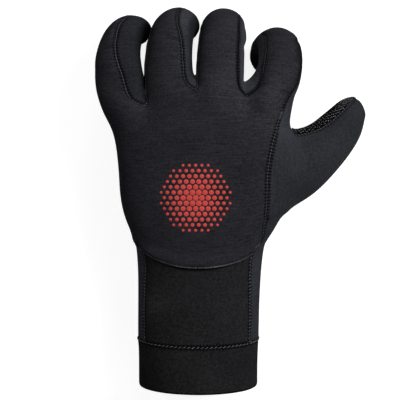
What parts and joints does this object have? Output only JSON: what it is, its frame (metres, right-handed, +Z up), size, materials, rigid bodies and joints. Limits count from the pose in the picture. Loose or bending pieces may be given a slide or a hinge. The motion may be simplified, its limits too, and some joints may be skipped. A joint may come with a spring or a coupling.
{
  "type": "neoprene glove",
  "caption": "Left-hand neoprene water sports glove with pre-curved fingers, long cuff, lapped wrist panel and grip-printed palm.",
  "frame": {"origin": "on the surface the glove rests on, under the middle of its bounding box", "axes": "+X towards the thumb, +Y from the cuff to the fingers, +Z up, out of the back of the hand"},
  "size_m": [0.1762, 0.2514, 0.0663],
  "materials": {
    "back_neoprene": "matt knitted nylon on neoprene",
    "grip_neoprene": "knitted nylon with a glossy rubber grip print",
    "thumb_neoprene": "matt knitted nylon on neoprene",
    "side_neoprene": "matt knitted nylon on neoprene",
    "wrist_neoprene": "matt knitted nylon on neoprene",
    "cuff_neoprene": "matt knitted nylon on neoprene",
    "seam_thread": "dull nylon sewing thread",
    "back_print": "thin matt rubber print"
  },
  "bodies": {
    "root": {"back_panel": "back_neoprene", "palm_panel": "grip_neoprene", "thumb_panel": "thumb_neoprene", "fourchette_little_ring": "side_neoprene", "fourchette_ring_middle": "side_neoprene", "fourchette_middle_index": "side_neoprene", "wrist_panel": "wrist_neoprene", "cuff_band": "cuff_neoprene"}
  },
  "joints": []
}
